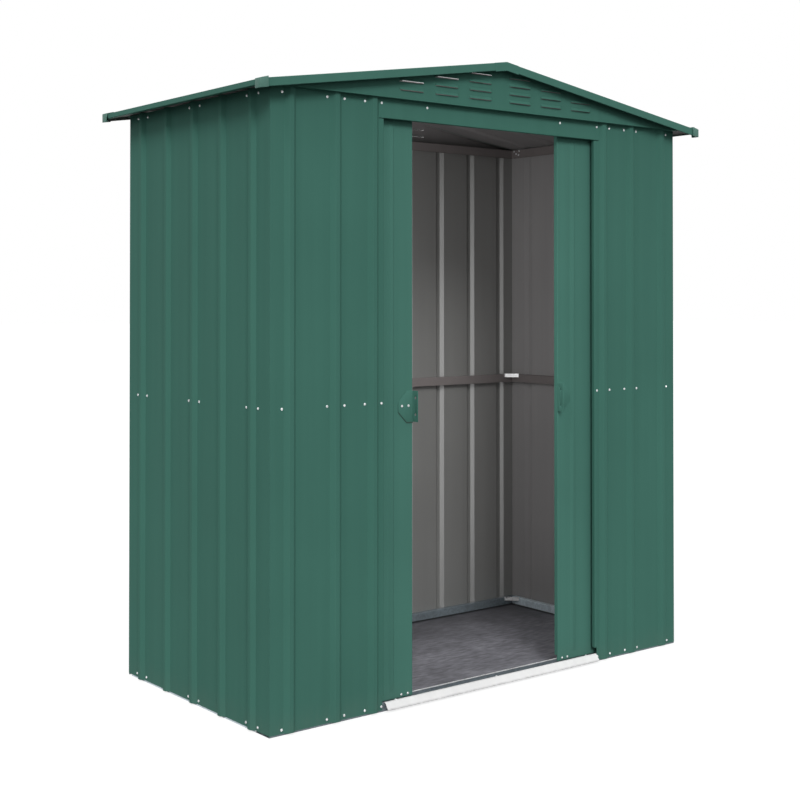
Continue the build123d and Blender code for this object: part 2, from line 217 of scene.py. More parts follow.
# Studio
studio_white = (1.0, 1.0, 1.0, 1.0)
floor_reach = 60.0
floor_glow = 0.75              # light of the floor itself, as the camera sees it
floor_shade_share = 0.35       # how strongly the floor shows the shed's shadow
floor_bounce_share = 0.1       # light that the floor throws back at the shed
sky_strength = 0.72
key_way = Vector((0.37, 0.77, -0.52))
key_strength = 1.45
side_way = Vector((0.64, 0.13, -0.76))
side_strength = 0.45
sun_angle = math.radians(20)
fill_place = Vector((-0.50, -0.18, 1.29))
fill_way = Vector((0.6, 0.8, 0.0))
fill_width = 0.50
fill_height = 1.05
fill_power = 6.0               # watts of the lamp in the room

# Places taken from the frame
back_low, back_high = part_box("back_wall")
header_low, header_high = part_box("door_header")
ramp_low, ramp_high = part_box("threshold_ramp")
sill_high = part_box("front_base_rail")[1]
track_low, track_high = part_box("door_track")
gable_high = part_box("front_gable")[1]
roof_low, roof_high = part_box("right_roof")
fascia_low, fascia_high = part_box("front_right_fascia")
trim_low, trim_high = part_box("right_eave_trim")
cap_low, cap_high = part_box("ridge_cap")
cover_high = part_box("apex_covers")[1]
floor_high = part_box("floor_panel")[1]
door_low, door_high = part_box("left_door")
half_width = back_high.x
half_depth = back_low.y + sheet
wall_bottom = back_low.z
wall_top = back_high.z
inner_x = half_width - sheet
inner_y = half_depth - sheet
half_doorway = ramp_high.x
door_face = door_low.y + door_rib_depth
roof_run = roof_high.x
ridge_top = roof_high.z - wall_rib_depth
slope = (ridge_top - sheet - roof_low.z) / roof_run


# Mesh work
def evenly(first, last, count):
    """Places at equal steps from the first to the last."""
    step = (last - first) / (count - 1)
    return [first + step * index for index in range(count)]


def left_of(direction):
    """Direction turned a quarter to the left."""
    return Vector((-direction.y, direction.x))


def bent(path, radius):
    """Points along a path with its corners bent round, each with the normal on its left."""
    corners = [Vector(point) for point in path]
    spots = [(corners[0], left_of((corners[1] - corners[0]).normalized()))]
    for before, corner, after in zip(corners, corners[1:], corners[2:]):
        come = corner - before
        go = after - corner
        turn = math.atan2(come.x * go.y - come.y * go.x, come.dot(go))
        half_tan = math.tan(abs(turn) / 2)
        room = bend_room_share * min(come.length, go.length)
        reach = min(radius * half_tan, room)
        side = math.copysign(reach / half_tan, turn)
        support = min(bend_support, room / 2)
        come.normalize()
        go.normalize()
        centre = corner - come * reach + left_of(come) * side
        spots.append((corner - come * (reach + support), left_of(come)))
        for step in range(bend_steps + 1):
            normal = Matrix.Rotation(turn * step / bend_steps, 2) @ left_of(come)
            spots.append((centre - normal * side, normal))
        spots.append((corner + go * (reach + support), left_of(go)))
    spots.append((corners[-1], left_of((corners[-1] - corners[-2]).normalized())))
    return spots


def add_loft(shape, stations, thickness, radius, place):
    """Folded sheet through some stations, each a place along it and the path of its left face."""
    layers = []
    for along, path in stations:
        spots = bent(path, radius)
        outer = [shape.verts.new(place(spot.x, spot.y, along)) for spot, normal in spots]
        inner = [shape.verts.new(place(*(spot - normal * thickness), along)) for spot, normal in spots]
        layers.append((outer, inner))
    last = len(layers[0][0]) - 1
    for here, there in zip(layers, layers[1:]):
        for index in range(last):
            for layer, (near, far) in enumerate(zip(here, there)):
                corners = (near[index], near[index + 1], far[index + 1], far[index])
                shape.faces.new(corners).material_index = layer
        for index in (0, last):
            shape.faces.new((here[0][index], there[0][index], there[1][index], here[1][index]))
    for outer, inner in (layers[0], layers[-1]):
        for index in range(last):
            shape.faces.new((outer[index], inner[index], inner[index + 1], outer[index + 1]))


def add_strip(shape, path, thickness, radius, start, end, place):
    """Folded sheet with the same path from start to end."""
    add_loft(shape, [(start, path), (end, path)], thickness, radius, place)


def add_block(shape, low, high):
    """Plain plate between two corners."""
    corners = [
        shape.verts.new((x, y, z))
        for x in (low[0], high[0])
        for y in (low[1], high[1])
        for z in (low[2], high[2])
    ]
    for face in ((0, 1, 3, 2), (4, 6, 7, 5), (0, 4, 5, 1), (2, 3, 7, 6), (0, 2, 6, 4), (1, 5, 7, 3)):
        shape.faces.new([corners[index] for index in face])


def add_pierced_plate(shape, outline, holes, front, back):
    """Upright plate with holes, from outlines of (x, z) points and the y of its two faces."""
    loops = [outline] + holes
    points = [point for loop in loops for point in loop]
    sides = [[shape.verts.new((x, y, z)) for x, z in points] for y in (front, back)]
    flat = [[Vector((x, z, 0)) for x, z in loop] for loop in loops]
    for triangle in tessellate_polygon(flat):
        for layer in (0, 1):
            shape.faces.new([sides[layer][index] for index in triangle]).material_index = layer
    first = 0
    for loop in loops:
        count = len(loop)
        for index in range(count):
            here = first + index
            there = first + (index + 1) % count
            shape.faces.new((sides[0][here], sides[0][there], sides[1][there], sides[1][here]))
        first += count


def new_object(name, mesh):
    """Object for a mesh, in the scene."""
    piece = bpy.data.objects.new(name, mesh)
    bpy.context.scene.collection.objects.link(piece)
    return piece


def shaped_mesh(name, shape, finishes):
    """Mesh of a finished shape, smooth but for its sharp edges."""
    bmesh.ops.recalc_face_normals(shape, faces=shape.faces)
    mesh = bpy.data.meshes.new(name)
    shape.to_mesh(mesh)
    shape.free()
    mesh.shade_smooth()
    mesh.set_sharp_from_angle(angle=sharp_angle)
    for finish in finishes:
        mesh.materials.append(finish)
    return mesh


def make_piece(name, shape, finishes, body, slot, *nodes):
    """Finished piece that rides on a body and stands for some nodes."""
    piece = new_object(name, shaped_mesh(name, shape, finishes))
    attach(piece, body)
    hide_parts(*nodes)
    return piece


def eased_copy(node, width, finish, body, slot):
    """Copy of a node with its sharp edges eased."""
    shape = bmesh.new()
    shape.from_mesh(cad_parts[node].data)
    bmesh.ops.remove_doubles(shape, verts=shape.verts, dist=merge_distance)
    bmesh.ops.dissolve_limit(shape, angle_limit=flat_angle, verts=shape.verts, edges=shape.edges)
    edges = [edge for edge in shape.edges if edge.is_manifold and edge.calc_face_angle() > sharp_angle]
    bmesh.ops.bevel(
        shape, geom=edges, offset=width, segments=easing_steps, profile=easing_round_share,
        affect="EDGES", clamp_overlap=True,
    )
    make_piece(node + "_eased", shape, [finish], body, slot, node)


def along_x(across, up, along):
    """Place of a section point of a sheet that runs along the doorway."""
    return (along, across, up)


def ribbed_path(start, end, centres, rib, share=1.0):
    """Outer face of a ribbed sheet: along the sheet, and out of its flat face."""
    depth, base, top = rib
    path = [(start, 0)]
    for centre in centres:
        path.append((centre - base / 2, 0))
        path.append((centre - top / 2, depth * share))
        path.append((centre + top / 2, depth * share))
        path.append((centre + base / 2, 0))
    path.append((end, 0))
    return path


# Finishes
def rgba(red, green, blue):
    """Colour written as a screen shows it, from 0 to 255."""
    def linear(value):
        share = value / 255
        return share / 12.92 if share <= 0.04045 else ((share + 0.055) / 1.055) ** 2.4
    return (linear(red), linear(green), linear(blue), 1.0)


def add_node(tree, kind, settings=None, **inputs):
    """Node with some settings and input values or links. An input is named, or i and its number."""
    node = tree.nodes.new(kind)
    for setting, value in (settings or {}).items():
        setattr(node, setting, value)
    for key, value in inputs.items():
        socket = node.inputs[int(key[1:])] if key[1:].isdigit() else node.inputs[key.replace("_", " ")]
        if isinstance(value, bpy.types.NodeSocket):
            tree.links.new(value, socket)
        else:
            socket.default_value = value
    return node


def start_finish(name):
    """New node material with its tree, its surface shader and its object coordinates."""
    material = bpy.data.materials.new(name)
    material.use_nodes = True
    tree = material.node_tree
    shader = next(node for node in tree.nodes if node.type == "BSDF_PRINCIPLED")
    coords = add_node(tree, "ShaderNodeTexCoord").outputs["Object"]
    return material, tree, shader, coords


def noise(tree, coords, waves):
    """Noise value of some waves per metre along each axis, with some finer layers."""
    scale, layers = waves
    stretched = add_node(tree, "ShaderNodeMapping", Vector=coords, Scale=scale).outputs[0]
    return add_node(tree, "ShaderNodeTexNoise", Vector=stretched, Scale=1.0, Detail=layers).outputs[0]


def spread(tree, value, shares, middle=0.0):
    """Noise value spread over a range, which may lie about a middle."""
    low, high = noise_shares
    first, last = shares
    return add_node(
        tree, "ShaderNodeMapRange", {"clamp": False},
        Value=value, From_Min=low, From_Max=high, To_Min=middle + first, To_Max=middle + last,
    ).outputs[0]


def times(tree, colour, amount):
    """Colour made lighter or darker by an amount."""
    scale = {"operation": "SCALE"}
    return add_node(tree, "ShaderNodeVectorMath", scale, i0=colour[:3], Scale=amount).outputs[0]


def product(tree, first, second):
    """Two values multiplied."""
    return add_node(tree, "ShaderNodeMath", {"operation": "MULTIPLY"}, i0=first, i1=second).outputs[0]


def bump(tree, height, amount, normal=None):
    """Surface normal roughened by a height."""
    strength, distance = amount
    node = add_node(tree, "ShaderNodeBump", Strength=strength, Distance=distance, Height=height)
    if normal:
        tree.links.new(normal, node.inputs["Normal"])
    return node.outputs[0]


def fade(tree, value, start, end, first, last):
    """Value that runs smoothly from a first amount at the start to a last one at the end."""
    return add_node(
        tree, "ShaderNodeMapRange", {"interpolation_type": "SMOOTHSTEP"},
        Value=value, From_Min=start, From_Max=end, To_Min=first, To_Max=last,
    ).outputs[0]


def coated_steel(name, colour, dirt_and_shade, roughness, shine, refraction=1.5):
    """Factory paint on sheet steel: faint streaks and clouds, fine peel, and a low band that is dust on
    most finishes and painted shade on the ramp's lower edge.
    """
    dirt_and_shade_colour, dirt_and_shade_share, dirt_and_shade_height = dirt_and_shade
    material, tree, shader, coords = start_finish(name)
    clouds = noise(tree, coords, cloud_waves)
    streaks = noise(tree, coords, streak_waves)
    tone = product(tree, spread(tree, clouds, cloud_shares), spread(tree, streaks, streak_shares))
    paint = times(tree, colour, tone)
    height = add_node(tree, "ShaderNodeSeparateXYZ", Vector=coords).outputs["Z"]
    low = fade(tree, height, 0.0, dirt_and_shade_height, dirt_and_shade_share, 0.0)
    dirt_and_shade_mask = product(tree, low, spread(tree, noise(tree, coords, dirt_and_shade_waves), dirt_and_shade_shares))
    mixed = add_node(tree, "ShaderNodeMix", {"data_type": "RGBA"}, i0=dirt_and_shade_mask, i6=paint, i7=dirt_and_shade_colour)
    tree.links.new(mixed.outputs[2], shader.inputs["Base Color"])
    tree.links.new(spread(tree, clouds, cloud_rough_shares, roughness), shader.inputs["Roughness"])
    shader.inputs["Specular IOR Level"].default_value = shine
    shader.inputs["IOR"].default_value = refraction
    peel = bump(tree, noise(tree, coords, peel_waves), peel_bump)
    uneven = bump(tree, noise(tree, coords, sheet_waves), sheet_bump, peel)
    tree.links.new(uneven, shader.inputs["Normal"])
    return material


def zinc_coat(name, colour, metallic, roughness):
    """Galvanised steel with faint crystal patches and scuffs."""
    material, tree, shader, coords = start_finish(name)
    crystals = add_node(tree, "ShaderNodeTexVoronoi", Vector=coords, Scale=crystal_waves).outputs["Color"]
    patch = add_node(tree, "ShaderNodeSeparateXYZ", Vector=crystals).outputs["X"]
    scuffs = noise(tree, coords, scuff_waves)
    tone = product(tree, spread(tree, patch, crystal_shares), spread(tree, scuffs, scuff_shares))
    tree.links.new(times(tree, colour, tone), shader.inputs["Base Color"])
    tree.links.new(spread(tree, scuffs, scuff_rough_shares, roughness), shader.inputs["Roughness"])
    shader.inputs["Metallic"].default_value = metallic
    tree.links.new(bump(tree, scuffs, scuff_bump), shader.inputs["Normal"])
    return material


def floor_covering(name, colour):
    """Dark floor board with short streaks across the shed, and painted shade along its edges and towards
    the back.
    """
    material, tree, shader, coords = start_finish(name)
    streaks = noise(tree, coords, board_waves)
    patches = noise(tree, coords, patch_waves)
    tone = product(tree, spread(tree, streaks, board_shares), spread(tree, patches, patch_shares))
    place = add_node(tree, "ShaderNodeSeparateXYZ", Vector=coords).outputs
    across = add_node(tree, "ShaderNodeMath", {"operation": "ABSOLUTE"}, i0=place["X"]).outputs[0]
    dark, unshaded = floor_edge_shade
    side = floor_high.x
    back = floor_high.y
    at_side = fade(tree, across, side - unshaded, side - dark, 1.0, floor_edge_shade_share)
    at_back = fade(tree, place["Y"], back - unshaded, back - dark, 1.0, floor_edge_shade_share)
    back_shade = fade(tree, place["Y"], back - floor_back_shade, back, 1.0, floor_back_shade_share)
    tone = product(tree, product(tree, tone, back_shade), product(tree, at_side, at_back))
    tree.links.new(times(tree, colour, tone), shader.inputs["Base Color"])
    tree.links.new(spread(tree, streaks, board_rough_shares), shader.inputs["Roughness"])
    tree.links.new(bump(tree, streaks, board_bump), shader.inputs["Normal"])
    return material


def moulded_plastic(name, colour):
    """Matt moulded plastic with a fine grain."""
    material, tree, shader, coords = start_finish(name)
    grain = noise(tree, coords, grain_waves)
    tree.links.new(times(tree, colour, spread(tree, grain, grain_shares)), shader.inputs["Base Color"])
    tree.links.new(spread(tree, grain, grain_rough_shares), shader.inputs["Roughness"])
    tree.links.new(bump(tree, grain, grain_bump), shader.inputs["Normal"])
    return material


dust = (rgba(126, 130, 122), dust_share, dust_height)
# Painted shade: a dark band along the lower edge of the ramp
hem_shade = (rgba(40, 40, 40), hem_shade_share, hem_shade_height)
green_paint = coated_steel("green_paint", rgba(70, 116, 104), dust, roughness=0.45, shine=0.015)
door_paint = coated_steel("door_paint", rgba(76, 123, 111), dust, roughness=0.45, shine=0.015)
trim_paint = coated_steel("trim_paint", rgba(74, 119, 107), dust, roughness=0.45, shine=0.015)
# The inner primer of the front and side walls and the doors is painted lighter than the back wall's,
# standing in for more light on those walls.
lit_wall_primer = coated_steel("lit_wall_primer", rgba(150, 148, 148), dust, roughness=0.45, shine=0.15)
back_primer = coated_steel(
    "back_primer", rgba(126, 126, 124), dust, roughness=0.38, shine=0.9, refraction=2.0,
)
roof_primer = coated_steel("roof_primer", rgba(136, 133, 133), dust, roughness=0.5, shine=0.03)
rail_primer = coated_steel("rail_primer", rgba(121, 115, 114), dust, roughness=0.5, shine=0.3)
# The ramp's coat carries that painted shade on its lower edge.
ramp_coat = coated_steel("ramp_coat", rgba(233, 233, 233), hem_shade, roughness=0.4, shine=0.06)
galvanised = zinc_coat("galvanised", rgba(114, 124, 130), metallic=0.2, roughness=0.45)
# The side base rails' zinc is painted paler than the back base rail's, standing in for light on them.
lit_zinc = zinc_coat("lit_zinc", rgba(205, 218, 226), metallic=0.1, roughness=0.4)
bracket_zinc = zinc_coat("bracket_zinc", rgba(250, 250, 250), metallic=0.8, roughness=0.3)
bright_zinc = zinc_coat("bright_zinc", rgba(232, 233, 234), metallic=0.5, roughness=0.32)
floor_boards = floor_covering("floor_boards", rgba(132, 132, 139))
nylon = moulded_plastic("nylon", rgba(42, 42, 44))
# Dark green that stands for the shadow under the left handle's plate
painted_shadow_plastic = moulded_plastic("painted_shadow_plastic", rgba(24, 62, 51))
cap_plastic = moulded_plastic("cap_plastic", rgba(74, 118, 106))

# Finishes of the outer and the inner face
painted = (green_paint, lit_wall_primer)
back_painted = (green_paint, back_primer)
roof_painted = (green_paint, roof_primer)
door_painted = (door_paint, lit_wall_primer)
trimmed = (trim_paint, roof_primer)
header_painted = (green_paint, green_paint)
ramp_coated = (ramp_coat, ramp_coat)
primed = (rail_primer, rail_primer)
dull_plated = (galvanised, galvanised)
zinc_plated = (bright_zinc, bright_zinc)
bracket_plated = (bracket_zinc, bracket_zinc)
painted_shadow_moulded = (painted_shadow_plastic, painted_shadow_plastic)

# Middles of the ribs
corner_rib = half_width - front_rib_inset
jamb_rib = half_doorway + jamb_rib_inset
mid_rib = corner_rib + front_mid_rib_share * (jamb_rib - corner_rib)
side_ribs = evenly(-half_depth + side_rib_inset, half_depth - side_rib_inset, side_rib_count)
back_ribs = evenly(-corner_rib, corner_rib, back_rib_count)
roof_ribs = evenly(-roof_high.y + roof_rib_inset, roof_high.y - roof_rib_inset, roof_rib_count)


# Walls and roof
# A side or an end is -1 or 1 along X or Y, and inward is the way from a side to the middle.
def front_wall(inward, name):
    """Ribbed sheet beside the doorway, with a fold at the jamb between the sill and the track."""
    ribs = [-corner_rib, -mid_rib, -jamb_rib]
    plain = ribbed_path(-half_width, -half_doorway, ribs, wall_rib)
    folded = plain + [(-half_doorway, -jamb_return)]
    foot = ribbed_path(-half_width, -half_doorway - jamb_cut, ribs, wall_rib)
    fold_bottom = sill_high.z + jamb_notch
    shape = bmesh.new()
    for bottom, top, path in (
        (wall_bottom, fold_bottom, foot),
        (fold_bottom, track_low.z, folded),
        (track_low.z, wall_top, plain),
    ):
        add_strip(
            shape, path, sheet, rib_bend, bottom, top,
            lambda along, out, up: (inward * along, -half_depth - out, up),
        )
    make_piece(name + "_sheet", shape, painted, "shed", "green_sheet", name)


def side_wall(side, name):
    """Ribbed sheet at the left or right."""
    path = ribbed_path(-inner_y, inner_y, side_ribs, wall_rib)
    shape = bmesh.new()
    add_strip(
        shape, path, sheet, rib_bend, wall_bottom, wall_top,
        lambda along, out, up: (side * (half_width + out), along, up),
    )
    make_piece(name + "_sheet", shape, painted, "shed", "green_sheet", name)


def back_wall():
    """Ribbed sheet at the back."""
    path = ribbed_path(-half_width, half_width, back_ribs, wall_rib)
    shape = bmesh.new()
    add_strip(
        shape, path, sheet, rib_bend, wall_bottom, wall_top,
        lambda along, out, up: (along, half_depth + out, up),
    )
    make_piece("back_wall_sheet", shape, back_painted, "shed", "green_sheet", "back_wall")


def roof(side, name):
    """Ribbed sheet from the ridge to the eave."""
    path = ribbed_path(-roof_high.y, roof_high.y, roof_ribs, wall_rib)
    shape = bmesh.new()
    add_strip(
        shape, path, sheet, rib_bend, 0, roof_run,
        lambda along, out, run: (side * run, along, ridge_top + out - slope * run),
    )
    make_piece(name + "_sheet", shape, roof_painted, "shed", "green_sheet", name)


# Gables
def rounded_slot(left, bottom):
    """Outline of a vent slot with round corners."""
    centres = (
        (left + vent_length - sheet - vent_slot_round, bottom + vent_slot - vent_slot_round),
        (left + sheet + vent_slot_round, bottom + vent_slot - vent_slot_round),
        (left + sheet + vent_slot_round, bottom + vent_slot_round),
        (left + vent_length - sheet - vent_slot_round, bottom + vent_slot_round),
    )
    outline = []
    for quarter, (x, z) in enumerate(centres):
        for step in range(round_steps + 1):
            angle = math.pi / 2 * (quarter + step / round_steps)
            outline.append((x + vent_slot_round * math.cos(angle), z + vent_slot_round * math.sin(angle)))
    return outline


def vent_places():
    """Middle and lower edge of each vent slot of a gable."""
    places = []
    for column, count in zip(vent_columns, vent_row_counts):
        for row in range(count):
            bottom = wall_top + vent_first_row + row * vent_row_pitch
            places.append((column, bottom))
            places.append((-column, bottom))
    return places


def gable(end, name):
    """Sheet with slots under the roof, folded back at its lower edge and along the roof."""
    face = half_depth + gable_step
    peak = gable_high.z
    shoulder = peak - slope * half_width
    outline = [
        (-half_width, wall_top),
        (half_width, wall_top),
        (half_width, shoulder),
        (0, peak),
        (-half_width, shoulder),
    ]
    slots = [rounded_slot(middle - vent_length / 2, bottom) for middle, bottom in vent_places()]
    shape = bmesh.new()
    add_pierced_plate(shape, outline, slots, end * face, end * (face - sheet))
    reach = sorted((end * (face - sheet), end * inner_y))
    add_block(shape, (-half_width, reach[0], wall_top), (half_width, reach[1], wall_top + sheet))
    for side in (-1, 1):
        add_strip(
            shape, [(reach[0], peak), (reach[1], peak)], sheet, fold_bend, 0, half_width,
            lambda across, up, run: (side * run, across, up - slope * run),
        )
    make_piece(name + "_sheet", shape, roof_painted, "shed", "green_sheet", name)


def painted_glint_lips():
    """Pale strips on the highest hoods at the left of the front gable: painted highlights where light
    catches their lips.
    """
    shape = bmesh.new()
    front = -half_depth - gable_step - vent_reach
    for column, count in zip(vent_columns, vent_row_counts):
        glint_bottom = wall_top + vent_first_row + (count - 1) * vent_row_pitch + vent_sill
        add_block(
            shape, (-column - glint_length / 2, front - sheet, glint_bottom),
            (-column + glint_length / 2, front, glint_bottom + glint_height),
        )
    make_piece("front_gable_bright_lips", shape, [bright_zinc], "shed", "bracket", "front_gable")


# Doors
def door(inward, name, rib_inset):
    """Sheet with two pressed ribs that end short of its edges, folded back at the sides and top."""
    low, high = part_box(name)
    depth = high.y - door_face
    trail, lead = sorted((inward * low.x, inward * high.x))
    centres = [trail + rib_inset, lead - rib_inset]

    def skin(share, fold):
        return [(trail, -fold)] + ribbed_path(trail, lead, centres, door_rib, share) + [(lead, -fold)]

    def place(along, out, up):
        return (inward * along, door_face - out, up)

    bottom = low.z - door_foot_drop
    notch = low.z + door_notch
    rise = low.z + door_rib_start
    fall = high.z - door_rib_start
    foot = skin(flat_rib_share, door_foot_fold)
    flat = skin(flat_rib_share, depth)
    ribbed = skin(1.0, depth)
    stations = [
        (notch, flat),
        (rise, flat),
        (rise + door_rib_run, ribbed),
        (fall - door_rib_run, ribbed),
        (fall, flat),
        (high.z, flat),
    ]
    shape = bmesh.new()
    add_strip(shape, foot, sheet, door_rib_bend, bottom, notch, place)
    add_loft(shape, stations, sheet, door_rib_bend, place)
    left, right = sorted((inward * (trail + sheet), inward * (lead - sheet)))
    add_block(shape, (left, door_face + sheet, high.z - sheet), (right, high.y, high.z))
    make_piece(name + "_sheet", shape, door_painted, name, "green_sheet", name)


def handle_painted_shadow():
    """Thin dark green plate behind the plate of the left handle, which shows below it as a painted
    shadow.
    """
    low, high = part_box("left_door_handle")
    bottom = low.z - painted_shadow_drop
    top = high.z - painted_shadow_drop
    outline = [
        (high.x, bottom),
        (high.x, top),
        (low.x + handle_cut, top),
        (low.x, top - handle_cut),
        (low.x, bottom + handle_cut),
        (low.x + handle_cut, bottom),
    ]
    shape = bmesh.new()
    add_pierced_plate(shape, outline, [], door_face - painted_shadow_thickness, door_face)
    make_piece("left_door_handle_pad", shape, painted_shadow_moulded, "left_door", "nylon", "left_door_handle")


# Doorway
def header():
    """Strip over the doorway, with its lower edge folded back between the jambs."""
    front = header_low.y
    plain = [(front, header_low.z), (front, header_high.z)]
    folded = [(-half_depth + header_fold, header_low.z)] + plain
    shape = bmesh.new()
    for start, end, path in (
        (header_low.x, -half_doorway, plain),
        (-half_doorway, half_doorway, folded),
        (half_doorway, header_high.x, plain),
    ):
        add_strip(shape, path, header_sheet, fold_bend, start, end, along_x)
    make_piece("door_header_strip", shape, header_painted, "shed", "green_sheet", "door_header")


def header_painted_shadow():
    """Dark strip behind the ends of the header, which shows beside and below them as a painted shadow."""
    shape = bmesh.new()
    for side in (-1, 1):
        left, right = sorted((side * half_doorway, side * (header_high.x + painted_shadow_reach)))
        add_block(
            shape, (left, header_low.y + header_sheet, header_low.z - painted_shadow_reach),
            (right, -half_depth, header_high.z),
        )
    make_piece("door_header_seal", shape, [nylon], "shed", "nylon", "door_header")


def ramp():
    """Pale bent sheet in front of the doorway, with its lower edge turned back."""
    path = [
        (ramp_low.y + ramp_hem, ramp_low.z),
        (ramp_low.y, ramp_low.z),
        (-half_depth - ramp_lip, ramp_high.z - ramp_dip),
        (ramp_high.y, ramp_high.z - ramp_dip),
    ]
    shape = bmesh.new()
    add_strip(shape, path, ramp_sheet, fold_bend, ramp_low.x, ramp_high.x, along_x)
    make_piece("threshold_ramp_sheet", shape, ramp_coated, "shed", "ramp", "threshold_ramp")


def track():
    """Front top rail with the slotted channel that the hangers run in."""
    back = track_high.y
    front = back - track_width
    bottom = track_low.z
    top = track_high.z
    outer = [(-inner_y, bottom), (-inner_y, top), (back, top), (back, bottom), (back - track_lip, bottom)]
    inner = [(front + track_lip, bottom), (front, bottom), (front, top - rail_sheet)]
    shape = bmesh.new()
    for path in (outer, inner):
        add_strip(shape, path, rail_sheet, fold_bend, -inner_x, inner_x, along_x)
    make_piece("door_track_rail", shape, primed, "shed", "rail", "door_track")


# Rails
def channel(depth, bottom, top):
    """Section of a rail that opens downwards: depth from the wall, and height."""
    return [(0, bottom), (0, top), (depth, top), (depth, bottom)]


def cross_rail(node, finish, slot):
    """Rail along the back wall."""
    low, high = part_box(node)
    shape = bmesh.new()
    add_strip(
        shape, channel(high.y - low.y, low.z, high.z), rail_sheet, fold_bend, low.x, high.x,
        lambda depth, up, along: (along, inner_y - depth, up),
    )
    make_piece(node + "_channel", shape, (finish, finish), "shed", slot, node)


def side_rail(node, side, finish, slot):
    """Rail along the left or right wall."""
    low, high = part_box(node)
    shape = bmesh.new()
    add_strip(
        shape, channel(high.x - low.x, low.z, high.z), rail_sheet, fold_bend, low.y, high.y,
        lambda depth, up, along: (side * (inner_x - depth), along, up),
    )
    make_piece(node + "_channel", shape, (finish, finish), "shed", slot, node)


def front_mid_rails():
    """Short rails behind the two front sheets."""
    low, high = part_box("front_mid_rails")
    path = channel(high.y - low.y, low.z, high.z)
    shape = bmesh.new()
    for side in (-1, 1):
        add_strip(
            shape, path, rail_sheet, fold_bend, half_doorway + rib_bend, inner_x,
            lambda depth, up, along: (side * along, -inner_y + depth, up),
        )
    make_piece("front_mid_rails_channel", shape, primed, "shed", "rail", "front_mid_rails")


def sill_rail():
    """Front base rail: a leg behind the ramp, a web on the ground and the rib that guides the doors."""
    middle = (door_face + door_high.y) / 2
    front = middle - rail_sheet / 2
    bead_bottom = sill_high.z - bead_height
    path = [(sill_high.y, 0), (-inner_y, 0), (-inner_y, sill_high.z - ramp_dip)]
    shape = bmesh.new()
    add_strip(shape, path, rail_sheet, fold_bend, -inner_x, inner_x, along_x)
    add_block(shape, (-inner_x, front, rail_sheet), (inner_x, front + rail_sheet, bead_bottom))
    make_piece("front_base_rail_sill", shape, dull_plated, "shed", "galvanised", "front_base_rail")
    half_bead = bead_width / 2
    path = [
        (middle - half_bead, bead_bottom),
        (middle - half_bead, sill_high.z),
        (middle + half_bead, sill_high.z),
        (middle + half_bead, bead_bottom),
    ]
    bead = bmesh.new()
    add_strip(bead, path, half_bead, half_bead, -inner_x, inner_x, along_x)
    make_piece("front_base_rail_bead", bead, zinc_plated, "shed", "galvanised", "front_base_rail")


def ridge_beam():
    """Channel under the ridge."""
    low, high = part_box("ridge_beam")
    shape = bmesh.new()
    add_strip(
        shape, channel(high.x - low.x, low.z, high.z), rail_sheet, fold_bend, low.y, high.y,
        lambda depth, up, along: (low.x + depth, along, up),
    )
    make_piece("ridge_beam_channel", shape, primed, "shed", "rail", "ridge_beam")


def corner_brackets(node):
    """Bent strips across the back corners, on the faces of the rails."""
    low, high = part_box(node)
    end = inner_y - rail_depth
    edge = inner_x - rail_depth
    bend = -edge + bracket_cut
    path = [(-edge, end - bracket_cut), (bend, end), (bend + bracket_tab, end)]
    shape = bmesh.new()
    for inward in (1, -1):
        add_strip(
            shape, path, bracket_sheet, fold_bend, low.z, high.z,
            lambda along, across, up: (inward * along, across, up),
        )
    make_piece(node + "_strips", shape, bracket_plated, "shed", "bracket", node)


# Roof trim
def fascia(side, end, name):
    """Sloped trim over an end of the roof, folded over the roof and hemmed below."""
    out = -fascia_low.y
    top = fascia_high.z
    bottom = top - fascia_height
    path = [(out - fascia_fold, top), (out, top), (out, bottom), (out - fascia_hem, bottom)]
    shape = bmesh.new()
    add_strip(
        shape, path, trim_sheet, fold_bend, 0, fascia_high.x,
        lambda across, up, run: (side * run, end * across, up - slope * run),
    )
    make_piece(name + "_trim", shape, trimmed, "shed", "trim", name)


def eave_trim(side, name):
    """Upright trim over the lower end of the roof, with a lip under it."""
    path = [(trim_high.x, trim_high.z), (trim_high.x, trim_low.z), (trim_low.x, trim_low.z)]
    shape = bmesh.new()
    add_strip(
        shape, path, trim_sheet, fold_bend, trim_low.y, trim_high.y,
        lambda out, up, along: (side * out, along, up),
    )
    make_piece(name + "_strip", shape, trimmed, "shed", "trim", name)


def ridge_cap():
    """Bent strip on the ribs along the ridge."""
    edge_top = cap_low.z + trim_sheet
    path = [(cap_low.x, edge_top), (0, cap_high.z), (cap_high.x, edge_top)]
    shape = bmesh.new()
    add_strip(
        shape, path, trim_sheet, ridge_bend, cap_low.y, cap_high.y,
        lambda across, up, along: (across, along, up),
    )
    make_piece("ridge_cap_strip", shape, trimmed, "shed", "trim", "ridge_cap")


def apex_covers():
    """Bent strips over the joints of the fascias."""
    out = cover_high.y
    crown = cover_high.z
    path = [(out - fascia_fold, crown), (out, crown), (out, crown - apex_cover_height)]
    shape = bmesh.new()
    for side in (-1, 1):
        for end in (-1, 1):
            add_strip(
                shape, path, trim_sheet, fold_bend, 0, cover_high.x,
                lambda across, up, run: (side * run, end * across, up - slope * run),
            )
    make_piece("apex_covers_strip", shape, trimmed, "shed", "trim", "apex_covers")


